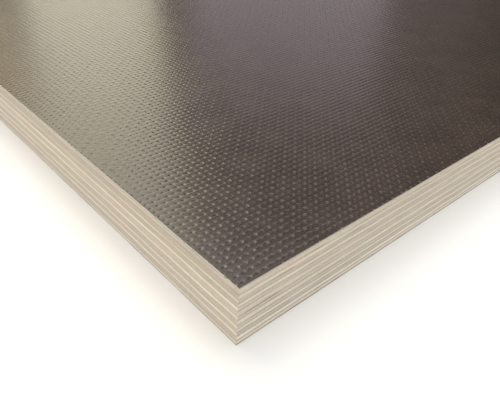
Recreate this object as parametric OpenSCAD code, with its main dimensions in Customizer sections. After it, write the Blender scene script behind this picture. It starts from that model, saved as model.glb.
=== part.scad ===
// Film-faced plywood sheet, lying flat with its wire-mesh film upward
// Millimetres. The origin is the middle of the underside: X runs along the sheet, Y across it, Z up

/* [Sheet] */

// Length, along the grain of the face veneers
length = 2500; // [600:10:3000]

// Width, across the grain of the face veneers
width = 1250; // [300:10:1500]

/* [Lay-up] */

// Number of veneers, odd so that both faces run the same way
ply_count = 13; // [3:2:21]

// Thickness of the top and bottom veneers
face_ply = 1.4; // [0.6:0.1:2.4]

// Thickness of the inner veneers with their grain along the sheet
long_ply = 1.0; // [0.6:0.1:2.4]

// Thickness of the veneers with their grain across the sheet
cross_ply = 1.6; // [0.6:0.1:2.4]

/* [Film] */

// Thickness of the pressed film with the wire-mesh imprint, on top
mesh_film_t = 0.3; // [0.1:0.05:0.8]

// Thickness of the smooth film underneath
smooth_film_t = 0.3; // [0.1:0.05:0.8]

/* [Hidden] */

film_colour = [0.24, 0.19, 0.16];
long_grain_colour = [0.84, 0.73, 0.58];
end_grain_colour = [0.70, 0.58, 0.43];

plies = [1 : ply_count]; // counted from the top

// Every second veneer is turned by a quarter turn
function is_face(ply) = ply == 1 || ply == ply_count;
function is_cross(ply) = ply % 2 == 0;
function ply_t(ply) = is_face(ply) ? face_ply : is_cross(ply) ? cross_ply : long_ply;

// Underside of a veneer: what lies below it, down to the smooth film
function ply_z(ply) = ply == ply_count ? smooth_film_t : ply_z(ply + 1) + ply_t(ply + 1);
function ply_name(ply) = str("ply_", ply < 10 ? "0" : "", ply);

mesh_film_z = ply_z(1) + ply_t(1);

// One layer of the sheet, sawn to the same outline as the rest
module layer(z, thickness)
    translate([0, 0, z])
        linear_extrude(thickness)
            square([length, width], center = true);

module mesh_film()
    color(film_colour) layer(mesh_film_z, mesh_film_t);

module veneer(ply)
    color(is_cross(ply) ? end_grain_colour : long_grain_colour) layer(ply_z(ply), ply_t(ply));

module smooth_film()
    color(film_colour) layer(0, smooth_film_t);

mesh_film();
for (ply = plies) veneer(ply);
smooth_film();
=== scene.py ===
import math
import random

import bpy
from mathutils import Matrix, Vector


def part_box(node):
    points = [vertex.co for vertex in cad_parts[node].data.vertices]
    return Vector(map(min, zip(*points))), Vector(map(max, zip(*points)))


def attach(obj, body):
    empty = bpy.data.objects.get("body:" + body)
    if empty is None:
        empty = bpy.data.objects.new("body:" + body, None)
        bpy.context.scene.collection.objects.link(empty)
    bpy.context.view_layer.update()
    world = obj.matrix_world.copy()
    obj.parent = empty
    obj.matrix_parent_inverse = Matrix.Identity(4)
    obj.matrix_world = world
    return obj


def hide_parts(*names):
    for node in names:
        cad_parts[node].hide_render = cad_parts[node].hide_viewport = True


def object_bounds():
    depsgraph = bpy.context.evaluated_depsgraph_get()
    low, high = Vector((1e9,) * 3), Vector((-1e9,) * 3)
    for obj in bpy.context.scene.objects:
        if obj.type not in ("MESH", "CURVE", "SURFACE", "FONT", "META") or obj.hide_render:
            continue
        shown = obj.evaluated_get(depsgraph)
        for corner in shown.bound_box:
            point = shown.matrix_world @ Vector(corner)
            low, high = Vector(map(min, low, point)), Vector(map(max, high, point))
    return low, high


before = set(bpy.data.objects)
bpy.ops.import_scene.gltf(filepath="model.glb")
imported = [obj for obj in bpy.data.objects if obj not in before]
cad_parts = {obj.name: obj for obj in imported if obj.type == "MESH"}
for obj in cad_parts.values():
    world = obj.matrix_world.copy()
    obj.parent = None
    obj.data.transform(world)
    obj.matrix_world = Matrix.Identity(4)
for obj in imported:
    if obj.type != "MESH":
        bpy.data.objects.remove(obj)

mm = 0.001  # the frame is in metres, and the sizes below are in millimetres
cadLow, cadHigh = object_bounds()
nearCorner = Vector((cadHigh.x, cadLow.y, cadHigh.z))  # the top corner by the camera
plyNodes = sorted(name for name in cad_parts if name.startswith("ply_"))
print("sheet", [round(v / mm, 1) for v in cadHigh - cadLow], "mm,", len(plyNodes), "veneers")


# a shader value: arithmetic on it adds Math nodes
class Value:
    def __init__(self, socket):
        self.socket = socket
        self.tree = socket.id_data

    # any node of this tree: its type, its settings, then values or links for its sockets
    def node(self, kind, settings=None, sockets=None, output=0):
        made = self.tree.nodes.new("ShaderNode" + kind)
        for name, value in (settings or {}).items():
            setattr(made, name, value)
        for name, value in (sockets or {}).items():
            if isinstance(value, Value):
                self.tree.links.new(value.socket, made.inputs[name])
            else:
                made.inputs[name].default_value = value
        return Value(made.outputs[output])

    def math(self, operation, *others):
        return self.node("Math", {"operation": operation}, dict(enumerate((self, *others))))

    def mathAfter(self, operation, first):
        return self.node("Math", {"operation": operation}, {0: first, 1: self})

    def __add__(self, other):
        return self.math("ADD", other)

    def __radd__(self, other):
        return self.mathAfter("ADD", other)

    def __sub__(self, other):
        return self.math("SUBTRACT", other)

    def __rsub__(self, other):
        return self.mathAfter("SUBTRACT", other)

    def __mul__(self, other):
        return self.math("MULTIPLY", other)

    def __rmul__(self, other):
        return self.mathAfter("MULTIPLY", other)

    def __truediv__(self, other):
        return self.math("DIVIDE", other)

    def __rtruediv__(self, other):
        return self.mathAfter("DIVIDE", other)

    def __pow__(self, other):
        return self.math("POWER", other)

    def __rpow__(self, other):
        return self.mathAfter("POWER", other)

    def __abs__(self):
        return self.math("ABSOLUTE")

    # 0 below low, 1 above high, smooth between
    def step(self, low, high):
        return self.node("MapRange", {"interpolation_type": "SMOOTHSTEP"}, {"Value": self, 1: low, 2: high})

    # low where this value is 0, high where it is 1
    def blend(self, low, high):
        return low + (high - low) * self

    # the same for colours
    def mixColour(self, low, high):
        low, high = (end if isinstance(end, Value) else (*end, 1.0) for end in (low, high))
        settings = {"data_type": "RGBA", "blend_type": "MIX"}
        return self.node("Mix", settings, {"Factor": self, 6: low, 7: high}, 2)

    # this colour times another colour, or times a number
    def tinted(self, colour):
        return self.node("VectorMath", {"operation": "MULTIPLY"}, {0: self, 1: colour})

    def shaded(self, amount):
        return self.node("VectorMath", {"operation": "SCALE"}, {0: self, "Scale": amount})


def newMaterial(name):
    material = bpy.data.materials.new(name)
    material.use_nodes = True
    return material, material.node_tree.nodes["Principled BSDF"]


# the place of a point on its piece, in metres
def placeIn(material):
    return Value(material.node_tree.nodes.new("ShaderNodeTexCoord").outputs["Object"])


def feed(shader, name, value):
    shader.id_data.links.new(value.socket, shader.inputs[name])


def axes(vector):
    return [vector.node("SeparateXYZ", None, {0: vector}, i) for i in range(3)]


def joined(x, y, z):
    return x.node("CombineXYZ", None, {0: x, 1: y, 2: z})


# the camera of the photograph, from the vanishing points of the sheet's edges
camera = {
    "lens": 37.70, "sensor": 36.0,  # mm
    "nearest": 0.002, "farthest": 200,  # metres, what it sees
    "fromCorner": (58.5, -54.3, 77.7),  # mm, from the near top corner
    "heading": 46.34, "tilt": 34.57, "roll": 3.63,  # degrees
}


def makeCamera():
    data = bpy.data.cameras.new("photoCamera")
    data.lens = camera["lens"]
    data.sensor_width = camera["sensor"]
    data.clip_start = camera["nearest"]
    data.clip_end = camera["farthest"]
    body = bpy.data.objects.new("photoCamera", data)
    turn = Matrix.Rotation(math.radians(camera["heading"]), 4, "Z")
    turn = turn @ Matrix.Rotation(math.radians(90 - camera["tilt"]), 4, "X")
    turn = turn @ Matrix.Rotation(math.radians(camera["roll"]), 4, "Z")
    place = nearCorner + Vector(camera["fromCorner"]) * mm
    body.matrix_world = Matrix.Translation(place) @ turn
    bpy.context.scene.collection.objects.link(body)
    bpy.context.scene.camera = body


makeCamera()
print("camera placed")


# the sheet's outline as four sides, from the near corner along +Y and on round
sheetLow, sheetHigh = cadLow.xy, cadHigh.xy
sheetSize = sheetHigh - sheetLow
corners = [
    Vector((sheetHigh.x, sheetLow.y)), Vector((sheetHigh.x, sheetHigh.y)),
    Vector((sheetLow.x, sheetHigh.y)), Vector((sheetLow.x, sheetLow.y)),
]
# patterns repeat after one tile, which goes evenly into the sheet: a baked map holds one tile finely
tile = {"size": 250.0, "map": "OFBake"}  # mm


def sideLength(side):
    return (corners[(side + 1) % 4] - corners[side]).length


def sideWay(side):
    return (corners[(side + 1) % 4] - corners[side]).normalized()


def inward(side):
    along = sideWay(side)
    return Vector((-along.y, along.x))


def onSide(side, distance, depth):
    return corners[side] + sideWay(side) * (distance * mm) + inward(side) * (depth * mm)


# how far a place is through its tile, the same way on opposite sides
def tileShare(side, distance):
    share = distance / tile["size"]
    return share if side in (0, 3) else -share


# a wavy line round the outline: waves that close on themselves
def waves(seed, height, shortest, longest, count):
    dice = random.Random(seed)
    length = 2 * (sheetSize.x + sheetSize.y) / mm
    parts = []
    for _ in range(count):
        turns = round(length / dice.uniform(shortest, longest))
        parts.append((turns, dice.uniform(0, math.tau), dice.uniform(0.5, 1.0)))
    scale = height * mm / sum(part[2] for part in parts)

    def heightAt(share):
        return scale * sum(a * math.sin(math.tau * turns * share + shift) for turns, shift, a in parts)

    return heightAt


# faces are lists of corners, and mapped holds the same lists as places on the baked map
def newPiece(name, vertices, faces, mapped, material, node):
    mesh = bpy.data.meshes.new(name)
    mesh.from_pydata(vertices, [], faces)
    layer = mesh.uv_layers.new(name=tile["map"])
    layer.data.foreach_set("uv", [value for face in mapped for place in face for value in place])
    mesh.validate()
    mesh.materials.append(material)
    piece = bpy.data.objects.new(name, mesh)
    bpy.context.scene.collection.objects.link(piece)
    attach(piece, "root")
    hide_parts(node)
    return piece


# a length bent into a circle, so that noise along it closes after one tile
def looped(length):
    turn = length * (math.tau / tile["size"])
    radius = tile["size"] / math.tau
    return turn.math("COSINE") * radius, turn.math("SINE") * radius


# veneers: peeled sheets with slightly uneven glue lines and a rough sawn edge
veneer = {
    "step": 3.125,  # mm, between points on the edge
    "lineWave": 0.16, "lineShort": 14.0, "lineLong": 60.0, "lineWaves": 9,  # mm, wander of a glue line
    "sawDepth": 0.10, "sawShort": 7.0, "sawLong": 30.0, "sawWaves": 7,  # mm, unevenness of the sawn edge
    "lineDrop": 0.25,  # mm, how much lower than in the CAD a joint looks
    "lineShift": {4: 0.20, 5: 0.22, 8: -0.28, 9: -0.24},  # mm, joints that are off that height
    "longGrain": (0.76, 0.69, 0.59), "endGrain": (0.55, 0.485, 0.405),
    "glue": (0.30, 0.245, 0.175),
    "greenish": (0.97, 1.01, 0.97), "reddish": (1.03, 0.985, 0.975),
    "lowest": (0.99, 1.005, 1.06),  # tint of the lowest veneer, which fades out upwards
    "sideWarmLightTint": (1.0, 0.983, 0.96), "endTint": (1.0, 1.0, 1.0),  # painted warm light: the long sides are tinted a little warmer than the ends
    "roughness": 0.72, "specular": 0.3,
    "relief": 0.12, "reliefStrength": 0.6,  # mm, and the share of it that shows
    # veneers that look darker or lighter than the others, on the long sides and on the ends
    "sideTone": {1: 0.73, 2: 0.91, 3: 0.86, 4: 0.94, 6: 1.06, 12: 1.04, 13: 0.95},
    "endTone": {1: 1.04, 2: 0.97, 3: 0.95, 4: 0.98, 5: 1.00, 7: 1.02, 9: 1.04, 11: 1.02, 12: 1.03, 13: 1.32},
    "otherTones": (0.98, 1.02),
    "endLight": {2: 0.38, 4: 0.55, 6: 0.32, 8: 0.52, 10: 0.80, 12: 1.0},  # how light fibres look on the ends
    "grainShade": 0.95, "sawnShade": 0.55, "broadShade": 0.18,  # how much each darkens and lightens
    "glueLine": (0.14, 0.76), "checks": (0.16, 0.46),  # how dark, on the long sides and on the ends
    "sideBand": (0.02, 0.46), "endBand": (0.54, 0.98), "hiddenBand": (0.49, 0.51),  # shares of the baked map
}
# noise on a sawn edge: how fine along it and up it, where it starts, detail and roughness
woodNoise = {
    "fibres": (0.05, 2.4, 0, 5.0, 0.65),
    "hairs": (0.12, 7.0, 100, 3.0, 0.6),
    "mottle": (0.30, 1.6, 200, 5.0, 0.65),
    "pores": (3.2, 3.6, 300, 2.0, 0.6),
    "sawn": (1.9, 2.6, 400, 3.0, 0.7),
    "broad": (0.02, 0.0, 500, 2.0, 0.5),
    "tint": (0.16, 0.7, 600, 3.0, 0.6),
    "uneven": (0.10, 0.0, 700, 4.0, 0.6),
    "checks": (0.07, 2.8, 800, 4.0, 0.6),
}
# a joint that has opened on the near end, by the corner: painted dark with the glue colour, partly glue and
# partly painted shade inside the opening
openJoint = {"veneer": 7, "start": 1.0, "end": 15.0, "opening": 2.0, "closing": 4.0}  # mm from the corner


def veneerMaterial(name, number, thickness):
    turned = number % 2 == 0
    dice = random.Random(30 + number)
    material, shader = newMaterial(name)
    place = placeIn(material)
    x, y, _ = axes(place)
    facing = axes(place.node("NewGeometry", None, None, "Normal"))
    onEnd = abs(facing[0]).step(0.4, 0.6)  # 1 on the two short sawn faces
    loopX, loopY = looped(onEnd.blend(x, y) / mm)
    across = place.node("Attribute", {"attribute_name": "plyHeight"}, None, "Fac")
    height = across * thickness
    showsFibres = onEnd if turned else 1 - onEnd
    shift = dice.uniform(0, 500) + onEnd * 40

    def edgeNoise(kind, further=0):
        along, up, start, detail, roughness = woodNoise[kind]
        spot = joined(loopX * along, loopY * along, height * up + shift + (start + further))
        return spot.node("TexNoise", None, {
            "Vector": spot, "Scale": 1.0, "Detail": detail, "Roughness": roughness})

    # fibres run along the edge, end grain is short and mottled
    fibres = edgeNoise("fibres")
    hairs = edgeNoise("hairs")
    fibreGrain = fibres * 0.5 + hairs * 0.5
    endGrain = edgeNoise("mottle") * 0.45 + edgeNoise("pores") * 0.35 + hairs * 0.2
    grain = showsFibres.blend(endGrain, fibreGrain)

    # fibres look light, and darker again towards a joint, where glue has soaked in
    toFace = 0.5 - abs(across - 0.5)
    endLight = veneer["endLight"].get(number, 1.0)
    core = toFace.step(0.0, 0.30) * (1 - onEnd) + toFace.step(0.08, 0.40) * onEnd * endLight
    core = core * (0.75 + fibres * 0.5)
    wood = (showsFibres * core).mixColour(veneer["endGrain"], veneer["longGrain"])

    # tints, painted warm light on the long sides, and light and dark
    lowness = (number - 1) / (len(plyNodes) - 1)
    wood = wood.tinted(edgeNoise("tint").step(0.3, 0.7).mixColour(veneer["greenish"], veneer["reddish"]))
    wood = wood.tinted(tuple(1 + (part - 1) * lowness for part in veneer["lowest"]))
    # painted warm light: the long sides are tinted warmer than the ends
    wood = wood.tinted(onEnd.mixColour(veneer["sideWarmLightTint"], veneer["endTint"]))
    sideTone = veneer["sideTone"].get(number, dice.uniform(*veneer["otherTones"]))
    endTone = veneer["endTone"].get(number, dice.uniform(*veneer["otherTones"]))
    shade = 1 + (grain - 0.5) * veneer["grainShade"] + (edgeNoise("sawn") - 0.5) * veneer["sawnShade"]
    shade = shade + (edgeNoise("broad") - 0.5) * veneer["broadShade"]
    wood = wood.shaded(onEnd.blend(sideTone, endTone) * shade)

    # glue lines and knife checks, plainer on the ends
    uneven = edgeNoise("uneven", across.step(0.4, 0.6) * 7)
    glueLine = (1 - toFace.step(0.02, 0.20)) * uneven.step(0.3, 0.65) * onEnd.blend(*veneer["glueLine"])
    checks = edgeNoise("checks").step(0.60, 0.74) * onEnd.blend(*veneer["checks"])
    dark = glueLine.math("MAXIMUM", checks)
    # the opened joint: glue colour painted along it, partly glue and partly painted shade inside the opening
    if number == openJoint["veneer"]:
        fromCorner = (y - nearCorner.y) / mm
        reach = fromCorner.step(openJoint["start"], openJoint["start"] + openJoint["opening"])
        reach = reach * (1 - fromCorner.step(openJoint["end"] - openJoint["closing"], openJoint["end"]))
        gapGlueAndShade = across.step(0.62, 0.86) * reach * uneven.step(0.15, 0.45) * facing[0].step(0.4, 0.6)
        dark = dark.math("MAXIMUM", gapGlueAndShade)
    feed(shader, "Base Color", dark.mixColour(wood, veneer["glue"]))
    shader.inputs["Roughness"].default_value = veneer["roughness"]
    shader.inputs["Specular IOR Level"].default_value = veneer["specular"]

    bump = place.node("Bump", None, {
        "Height": grain, "Distance": veneer["relief"] * mm, "Strength": veneer["reliefStrength"]})
    feed(shader, "Normal", bump)
    return material


def makeVeneers():
    steps = [round(sideLength(side) / mm / veneer["step"]) for side in range(4)]
    rim, sawnMap = [], []
    for side in range(4):
        band = veneer["endBand"] if side in (0, 2) else veneer["sideBand"]
        for i in range(steps[side]):
            push = inward(side) if i else inward(side) + inward((side + 3) % 4)
            rim.append((onSide(side, i * veneer["step"], 0), push))
            # a step stays in the tile that its middle is in
            base = math.floor(tileShare(side, (i + 0.5) * veneer["step"]))
            here, there = (tileShare(side, (i + k) * veneer["step"]) - base for k in (0, 1))
            sawnMap.append([(here, band[0]), (there, band[0]), (there, band[1]), (here, band[1])])
    count = len(rim)
    sides = [(count + i, count + (i + 1) % count, (i + 1) % count, i) for i in range(count)]

    # the hidden faces are strips across the sheet, with all of an end's points in the first and last strip
    ends, flanks = steps[0], steps[1]
    front = [(ends * 2 + flanks + i) % count for i in range(flanks + 1)]
    back = [ends + flanks - i for i in range(flanks + 1)]
    strips = [(front[i], front[i + 1], back[i + 1], back[i]) for i in range(1, flanks - 1)]
    strips.append((*range(ends + 1), back[flanks - 1], front[flanks - 1]))
    strips.append((*range(ends + flanks, ends * 2 + flanks + 1), front[1], back[1]))
    hidden = strips + [[count + i for i in strip[::-1]] for strip in strips]
    bottom, top = veneer["hiddenBand"]
    flat = []
    for point, _ in rim:
        along, across = ((point[way] - sheetLow[way]) / sheetSize[way] for way in range(2))
        flat.append((along, bottom + (top - bottom) * across))
    hiddenMap = [[flat[i % count] for i in face] for face in hidden]

    # one line for each glue joint, flat under the films
    still = waves(0, 0.0, 100.0, 200.0, 1)
    lines, shifts = [still], [0.0]
    for joint in range(1, len(plyNodes)):
        lines.append(waves(
            joint, veneer["lineWave"], veneer["lineShort"], veneer["lineLong"], veneer["lineWaves"]))
        shifts.append((veneer["lineShift"].get(joint, 0.0) - veneer["lineDrop"]) * mm)
    lines.append(still)
    shifts.append(0.0)

    for number, node in enumerate(plyNodes, 1):
        low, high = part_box(node)
        depth = veneer["sawDepth"] / 2
        saw = waves(100 + number, depth, veneer["sawShort"], veneer["sawLong"], veneer["sawWaves"])
        upper, lower = [], []
        for i, (point, push) in enumerate(rim):
            share = i / count
            edge = point + push * (depth * mm + saw(share))
            upper.append((edge.x, edge.y, high.z + lines[number - 1](share) + shifts[number - 1]))
            lower.append((edge.x, edge.y, low.z + lines[number](share) + shifts[number]))
        name = "veneer%02d" % number
        material = veneerMaterial(name, number, (high.z - low.z) / mm)
        piece = newPiece(name, upper + lower, sides + hidden, sawnMap + hiddenMap, material, node)
        plyHeight = piece.data.attributes.new("plyHeight", "FLOAT", "POINT")
        plyHeight.data.foreach_set("value", [1.0] * count + [0.0] * count)


makeVeneers()
print("veneers made")


# films: thin pressed sheets, nicked along the saw cut
film = {
    "edgeStep": 5.0, "edgeWander": 0.05,  # mm
    "nickEvery": 5.0, "nickEveryBelow": 90.0,  # mm, between nicks on the upper and the lower film
    "nickWidth": (0.3, 1.3), "nickDepth": (0.08, 0.45),  # mm
    # shares of a nick's half width and depth
    "nickShape": ((-1, 0.0), (-0.6, 0.7), (-0.1, 1.0), (0.45, 0.75), (1, 0.0)),
    "nickRoom": 3.0, "seamRoom": 2.0, "pointRoom": 0.2,  # mm, to a nick, a tile's end, a point
    "border": 6.0,  # mm, width of the band that carries the nicks
    "colour": (0.041, 0.028, 0.0213), "brown": (0.055, 0.0375, 0.0276), "speckled": 0.4,
    # the sawn film on the long sides is painted lighter than on the ends: painted light
    "sawnEdge": (0.36, 0.33, 0.28), "sawnSidePaintedLighter": (0.66, 0.61, 0.53),  # on the ends, on the long sides
    "roughness": 0.215, "refraction": 1.62,  # of phenolic resin
    "speckleRough": 0.12, "mottleRough": 0.06, "sawnRough": 0.4,  # changes of roughness
    "relief": 0.012,  # mm, of the resin's own surface
    "faceBand": (0.06, 1.0), "sawnBand": (0.03, 0.05), "hiddenBand": (0.0, 0.02),  # shares of the baked map
}
# noise on a film: how fine, detail and roughness
filmNoise = {
    "mottle": (0.09, 4.0, 0.6), "speckle": (3.2, 3.0, 0.7), "specks": (2.2, 1.0, 0.5),
    "fineRelief": (4.5, 3.0, 0.65), "broadRelief": (0.7, 2.0, 0.5),
}
# the imprint of a plain-weave wire mesh: grooves under its cross wires, and bowls where wires meet
imprint = {
    # wires passed in one tile along the sheet and in one across it: the mesh lay a little askew
    "columns": (125, -2), "rows": (3, 114),
    "firstColumn": 0.625, "firstRow": -0.083,  # shares of a pitch, from the corner to a crossing
    "overAlong": 0.66, "overAcross": 0.80, "overDepth": 0.068,  # mm, half sizes and depth, cross wire on top
    "underAlong": 0.75, "underAcross": 0.85, "underDepth": 0.040,  # mm, cross wire below
    "crossHalf": 0.60, "crossDepth": 0.029,  # mm, half width and depth of the groove of a cross wire
    "uneven": 0.5,  # share of a bowl's depth and dust that varies from crossing to crossing
    "dustAndGlint": (0.30, 0.285, 0.265), "dustAndGlintShare": 0.06, "dustAndGlintHalf": 0.55,  # pale dots in the bowls, partly dust and partly a painted highlight standing in for their glints: colour, share, mm
    "speck": 0.15,  # share of dust in the stray specks between them
}


# 1 in the middle of a dent, 0 from its rim on
def dent(square):
    return (1 - square).math("MAXIMUM", 0.0)


# the height of the imprint in mm, and how much pale dust and painted highlight lies in its bowls
def imprintOf(along, across):
    (columnsAlong, columnsAcross), (rowsAlong, rowsAcross) = imprint["columns"], imprint["rows"]
    size = tile["size"]
    u = along * (columnsAlong / size) + across * (columnsAcross / size) - imprint["firstColumn"]
    v = along * (rowsAlong / size) + across * (rowsAcross / size) - imprint["firstRow"]
    column, row = u.math("ROUND"), v.math("ROUND")
    dx, dy = (u - column) * (size / columnsAlong), (v - row) * (size / rowsAcross)
    under = abs(column + row).math("MODULO", 2.0).step(0.4, 0.6)

    # the same crossing of every tile gets the same chance
    crossings = columnsAlong * rowsAcross - columnsAcross * rowsAlong
    cell = joined(
        (column * rowsAcross - row * columnsAcross).math("FLOORED_MODULO", crossings),
        (row * columnsAlong - column * rowsAlong).math("FLOORED_MODULO", crossings), 0.0)
    chance = cell.node("TexWhiteNoise", {"noise_dimensions": "2D"}, {"Vector": cell})
    varied = 1 + (chance - 0.5) * imprint["uneven"]

    over = dent((dx / imprint["overAlong"]) ** 2.0 + (dy / imprint["overAcross"]) ** 2.0) * (1 - under)
    below = dent((dx / imprint["underAlong"]) ** 2.0 + (dy / imprint["underAcross"]) ** 2.0) * under
    bowls = (over ** 2.0 * imprint["overDepth"] + below ** 2.0 * imprint["underDepth"]) * varied
    grooves = dent((dx / imprint["crossHalf"]) ** 2.0) ** 2.0 * imprint["crossDepth"]
    # pale dots where the cross wire lies on top: partly dust, partly a painted highlight
    dustAndGlintShare = dent((dx ** 2.0 + dy ** 2.0) / imprint["dustAndGlintHalf"] ** 2) * (1 - under)
    return 0 - bowls - grooves, dustAndGlintShare * varied * imprint["dustAndGlintShare"]


def filmMaterial(name, meshed, seed):
    material, shader = newMaterial(name)
    place = placeIn(material)
    x, y, _ = axes(place)
    along = (nearCorner.x - x) / mm
    across = (y - nearCorner.y) / mm
    (alongX, alongY), (acrossX, acrossY) = looped(along), looped(across)
    plan = joined(alongX + seed, alongY, acrossX)

    def planNoise(kind):
        scale, detail, roughness = filmNoise[kind]
        return plan.node("TexNoise", {"noise_dimensions": "4D"}, {
            "Vector": plan, "W": acrossY, "Scale": scale, "Detail": detail, "Roughness": roughness})

    mottle = planNoise("mottle")
    speckle = planNoise("speckle")
    colour = mottle.step(0.3, 0.7).mixColour(film["colour"], film["brown"])
    colour = colour.shaded(1 + (speckle - 0.5) * film["speckled"])
    height = (planNoise("fineRelief") + planNoise("broadRelief")) * film["relief"]
    if meshed:
        pressed, dustAndGlintShare = imprintOf(along, across)
        height = height + pressed
        # pale dots of dust and painted highlight, and stray specks of dust, mixed into the film's colour
        specks = planNoise("specks").step(0.57, 0.70) * imprint["speck"]
        colour = dustAndGlintShare.math("MAXIMUM", specks).mixColour(colour, imprint["dustAndGlint"])

    # the saw cut is paler and rougher, and painted lighter still on the long sides as painted light
    facing = axes(place.node("NewGeometry", None, None, "True Normal"))
    upright = 1 - abs(facing[2]).step(0.4, 0.6)
    sawn = abs(facing[0]).step(0.4, 0.6).mixColour(film["sawnSidePaintedLighter"], film["sawnEdge"])
    feed(shader, "Base Color", upright.mixColour(colour, sawn))
    rough = film["roughness"] + (speckle - 0.5) * film["speckleRough"] + (mottle - 0.5) * film["mottleRough"]
    feed(shader, "Roughness", rough + upright * film["sawnRough"])
    shader.inputs["IOR"].default_value = film["refraction"]

    bump = place.node("Bump", None, {"Height": height, "Distance": mm, "Strength": 1.0})
    feed(shader, "Normal", bump)
    return material


# distances and depths along one side, with a point wherever tiles meet
def nickedSide(side, dice, every):
    length = round(sideLength(side) / mm, 3)
    room, seam = film["nickRoom"], film["seamRoom"]
    points = {}
    for i in range(1, round(length / film["edgeStep"])):
        points[i * film["edgeStep"]] = dice.uniform(0, film["edgeWander"])
    place = dice.uniform(room, room + every)
    while place < length - room:
        half = dice.uniform(*film["nickWidth"]) / 2
        deep = dice.uniform(*film["nickDepth"])
        if seam < place % tile["size"] < tile["size"] - seam:
            for s in [s for s in points if abs(s - place) < half + film["pointRoom"]]:
                del points[s]
            for share, part in film["nickShape"]:
                points[place + share * half] = deep * part
        place += dice.expovariate(1 / every) + room
    points[0.0] = points[length] = 0.0
    return sorted(points.items())


def makeFilm(name, node, material, seed, every, shownAbove):
    dice = random.Random(seed)
    low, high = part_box(node)
    size, border = tile["size"], film["border"]
    flat, known = [], {}

    def corner(point):
        key = (round(point.x, 7), round(point.y, 7))
        if key not in known:
            known[key] = len(flat)
            flat.append(point)
        return known[key]

    # the middle: one face to a tile, stopping short at the border
    cells = [round(v / mm / size) for v in sheetSize]
    stops = []
    for way in range(2):
        places = [sheetLow[way] + i * size * mm for i in range(cells[way] + 1)]
        places[0] += border * mm
        places[-1] -= border * mm
        stops.append(places)
    face = []
    for x0, x1 in zip(stops[0], stops[0][1:]):
        for y0, y1 in zip(stops[1], stops[1][1:]):
            face.append([corner(Vector(p)) for p in ((x0, y0), (x1, y0), (x1, y1), (x0, y1))])

    # the border: one face to a tile, with its nicks
    rim, rimMap = [], []
    bottom, top = film["sawnBand"]
    for side in range(4):
        points = nickedSide(side, dice, every)
        length = points[-1][0]
        for i in range(round(length / size)):
            run = [p for p in points if i * size - 0.001 <= p[0] <= (i + 1) * size + 0.001]
            outer = [corner(onSide(side, *p)) for p in run]
            first = max(i * size, border)
            last = min((i + 1) * size, length - border)
            face.append(outer + [corner(onSide(side, last, border)), corner(onSide(side, first, border))])
            rim += zip(outer, outer[1:])
            for (a, _), (b, _) in zip(run, run[1:]):
                here, there = (abs(tileShare(side, s - i * size)) for s in (a, b))
                rimMap.append([(here, bottom), (there, bottom), (there, top), (here, top)])

    def tilePlaces(ring, band):
        middle = sum((flat[i] for i in ring), Vector((0, 0))) / len(ring)
        base = [math.floor((middle[way] - sheetLow[way]) / mm / size) for way in range(2)]
        out = []
        for i in ring:
            u, v = ((flat[i][way] - sheetLow[way]) / mm / size - base[way] for way in range(2))
            out.append((u, band[0] + (band[1] - band[0]) * v))
        return out

    count = len(flat)
    vertices = [(p.x, p.y, high.z) for p in flat] + [(p.x, p.y, low.z) for p in flat]
    below = [[count + i for i in ring[::-1]] for ring in face]
    sawn = [(count + a, count + b, b, a) for a, b in rim]
    shown, hidden = film["faceBand"], film["hiddenBand"]
    mapped = [tilePlaces(ring, shown if shownAbove else hidden) for ring in face]
    mapped += [tilePlaces(ring[::-1], hidden if shownAbove else shown) for ring in face]
    newPiece(name, vertices, face + below + sawn, mapped + rimMap, material, node)


meshFilm = filmMaterial("meshFilm", True, 3.0)
makeFilm("meshFilm", "mesh_film", meshFilm, 11, film["nickEvery"], True)
smoothFilm = filmMaterial("smoothFilm", False, 8.0)
makeFilm("smoothFilm", "smooth_film", smoothFilm, 12, film["nickEveryBelow"], False)
print("films made")


# the studio: a white floor under a pale dome, soft lights and dim walls for the film to mirror
studio = {
    "floorSize": 28.0, "floorColour": (0.93, 0.93, 0.925, 1.0), "floorRoughness": 0.8, "floorSpecular": 0.1,
    "dome": (0.70, 0.70, 0.69), "mirrored": (0.05, 0.05, 0.05), "backdrop": (0.98, 0.98, 0.97),
    "lightsFar": 20.0,  # metres
}
# towards: bearing from +X to +Y and height, spread: width and height, in degrees as seen from the corner
# radiance is what the film mirrors
softLights = {
    "window": {"towards": (154, 38), "spread": (13.7, 58), "radiance": 2.36, "colour": (1.0, 0.95, 0.73)},
    "litWall": {"towards": (177, 40), "spread": (31, 58), "radiance": 1.22, "colour": (1.0, 0.82, 0.50)},
    "backWall": {"towards": (134, 14.5), "spread": (20, 22), "radiance": 0.54, "colour": (1.0, 0.88, 1.0)},
    "wallEnd": {"towards": (119.5, 14.5), "spread": (9, 22), "radiance": 0.10, "colour": (1.0, 0.88, 0.92)},
    "upperWall": {"towards": (130, 56), "spread": (62, 26), "radiance": 1.55, "colour": (0.96, 0.94, 1.0)},
    "ceiling": {"towards": (0, 88), "spread": (53, 53), "radiance": 0.5, "colour": (1.0, 1.0, 1.0)},
    "leftFront": {"towards": (-75, 30), "spread": (46, 46), "radiance": 0.78, "colour": (1.0, 0.925, 0.865)},
    "rightFront": {"towards": (5, 32), "spread": (46, 46), "radiance": 0.41, "colour": (0.95, 1.0, 0.95)},
}


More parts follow.
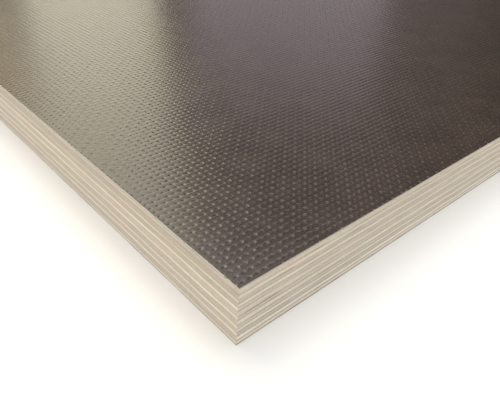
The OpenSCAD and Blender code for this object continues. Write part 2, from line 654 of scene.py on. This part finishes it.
def makeFloor():
    half = studio["floorSize"] / 2
    mesh = bpy.data.meshes.new("floor")
    rim = [(x, y, cadLow.z) for x, y in ((-half, -half), (half, -half), (half, half), (-half, half))]
    mesh.from_pydata(rim, [], [(0, 1, 2, 3)])
    material, shader = newMaterial("floor")
    shader.inputs["Base Color"].default_value = studio["floorColour"]
    shader.inputs["Roughness"].default_value = studio["floorRoughness"]
    shader.inputs["Specular IOR Level"].default_value = studio["floorSpecular"]
    mesh.materials.append(material)
    floor = bpy.data.objects.new("floor", mesh)
    bpy.context.scene.collection.objects.link(floor)


def makeLight(name, light):
    far = studio["lightsFar"]
    wide, tall = (2 * far * math.tan(math.radians(angle / 2)) for angle in light["spread"])
    turn, lift = (math.radians(angle) for angle in light["towards"])
    data = bpy.data.lights.new(name, "AREA")
    data.shape = "RECTANGLE"
    data.size = wide
    data.size_y = tall
    data.energy = light["radiance"] * math.pi * wide * tall
    data.color = light["colour"]
    lamp = bpy.data.objects.new(name, data)
    out = Vector((math.cos(turn) * math.cos(lift), math.sin(turn) * math.cos(lift), math.sin(lift)))
    lamp.location = nearCorner + out * far
    lamp.rotation_mode = "QUATERNION"
    lamp.rotation_quaternion = (-out).to_track_quat("-Z", "Y")
    lamp.visible_camera = False
    bpy.context.scene.collection.objects.link(lamp)


def makeDome():
    world = bpy.data.worlds.new("studio")
    world.use_nodes = True
    tree = world.node_tree
    path = tree.nodes.new("ShaderNodeLightPath")
    isDiffuse, isSeen = (Value(path.outputs[name]) for name in ("Is Diffuse Ray", "Is Camera Ray"))
    colour = isDiffuse.mixColour(studio["mirrored"], studio["dome"])
    colour = isSeen.mixColour(colour, studio["backdrop"])
    tree.links.new(colour.socket, tree.nodes["Background"].inputs["Color"])
    # the dome is found by bounces alone, so its two brightnesses hold
    world.cycles.sampling_method = "NONE"
    bpy.context.scene.world = world
    bpy.context.scene.view_settings.view_transform = "Standard"


makeFloor()
for lightName, softLight in softLights.items():
    makeLight(lightName, softLight)
makeDome()
print("studio made")
